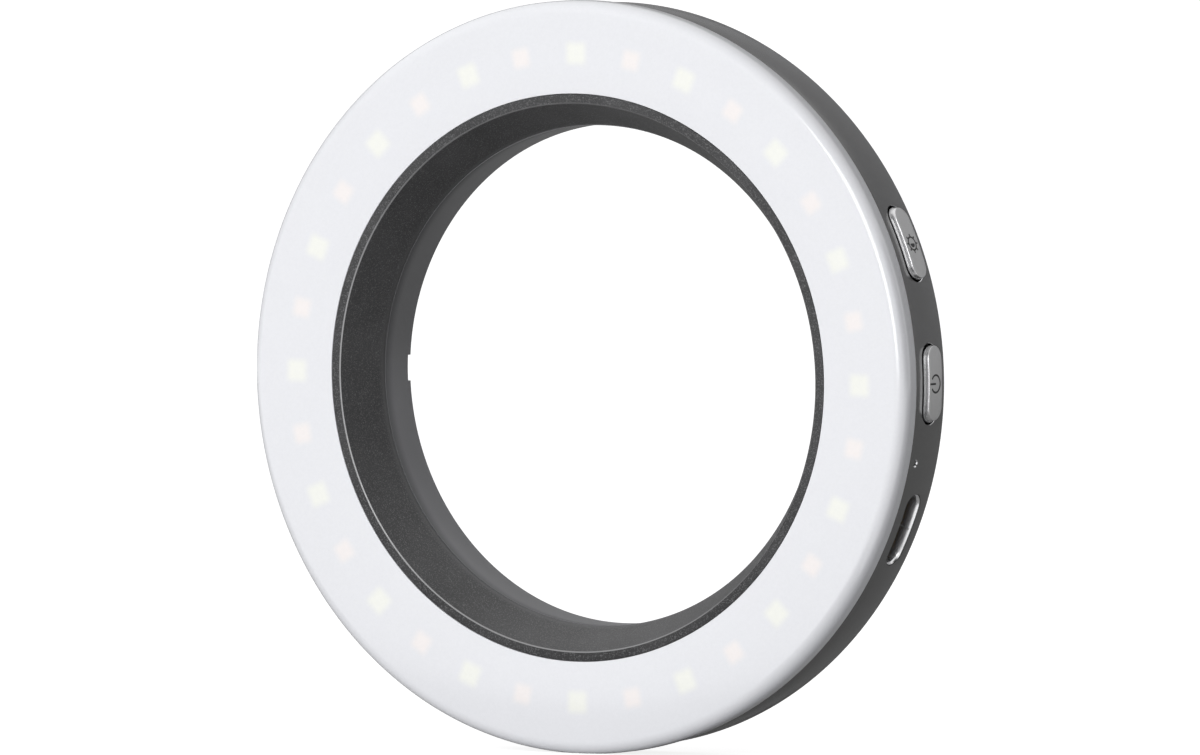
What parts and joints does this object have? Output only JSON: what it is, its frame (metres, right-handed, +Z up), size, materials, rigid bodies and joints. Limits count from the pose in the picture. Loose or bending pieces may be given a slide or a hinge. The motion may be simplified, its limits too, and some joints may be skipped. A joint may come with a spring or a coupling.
{
  "type": "ring video light",
  "caption": "Ring video light with an open bore for a lens, a white diffuser ring, LEDs in two tints, two side buttons and a charging port.",
  "frame": {"origin": "on the axis of the bore, in the plane of the flat back face", "axes": "+Y along the bore's axis, out of the back; the light shines towards -Y; +Z up, so that the buttons and the charging port are on the +X side"},
  "size_m": [0.0874, 0.0116, 0.0872],
  "materials": {
    "diffuser_white": "white translucent plastic with a very fine grain",
    "speckled_black": "dark grey powder coat with fine lighter specks",
    "gunmetal": "satin gunmetal anodised",
    "collar_grey": "satin gunmetal anodised, lightly bead-blasted",
    "cover_grey": "satin gunmetal anodised",
    "black_steel": "black oxide",
    "foam": "closed-cell foam",
    "plain_aluminium": "plain rolled",
    "board_white": "white solder mask",
    "reflector_white": "white film",
    "cool_led": "yellow phosphor in a white body",
    "warm_led": "orange phosphor in a white body",
    "cell_foil": "laminated foil",
    "flex_amber": "amber film",
    "connector_ivory": "moulded",
    "board_green": "green solder mask",
    "chip_black": "moulded",
    "ferrite": "pressed ferrite",
    "ceramic_tan": "fired ceramic",
    "button_metal": "satin, with a fine bright chamfer",
    "switch_metal": "bright",
    "port_steel": "bright, drawn",
    "contact_gold": "gold plated",
    "indicator_green": "clear lens",
    "clear_plastic": "frosted clear"
  },
  "bodies": {
    "ring": {"diffuser": "diffuser_white", "inner_bezel": "speckled_black", "housing": "gunmetal", "mount_collar": "collar_grey", "back_cover": "cover_grey", "cover_screws": "black_steel", "diffuser_gasket": "foam", "led_carrier": "plain_aluminium", "led_board": "board_white", "led_board_screws": "black_steel", "reflector_sheet": "reflector_white", "cool_leds": "cool_led", "warm_leds": "warm_led", "battery_cells": "cell_foil", "cell_tape": "foam", "battery_flex": "flex_amber", "battery_connector": "connector_ivory", "control_board": "board_green", "control_board_screws": "black_steel", "controller_chip": "chip_black", "charger_chip": "chip_black", "driver_chip": "chip_black", "power_inductors": "ferrite", "chip_capacitors": "ceramic_tan", "link_socket": "chip_black", "link_plug": "connector_ivory", "brightness_switch": "switch_metal", "power_switch": "switch_metal", "port_shell": "port_steel", "port_tongue": "chip_black", "port_contacts": "contact_gold", "indicator_led": "indicator_green", "light_pipe": "clear_plastic"},
    "brightness": {"brightness_button": "button_metal", "brightness_plunger": "connector_ivory"},
    "power": {"power_button": "button_metal", "power_plunger": "connector_ivory"}
  },
  "joints": [
    {"name": "brightness_press", "type": "slide", "parent": "ring", "child": "brightness", "axis": [-0.9816, 0, -0.1908], "range_m": [0, 0.0003], "stiffness_N_per_m": 5000, "springref_m": -0.0001},
    {"name": "power_press", "type": "slide", "parent": "ring", "child": "power", "axis": [-0.9816, 0, -0.1908], "range_m": [0, 0.0003], "stiffness_N_per_m": 5000, "springref_m": -0.0001}
  ]
}
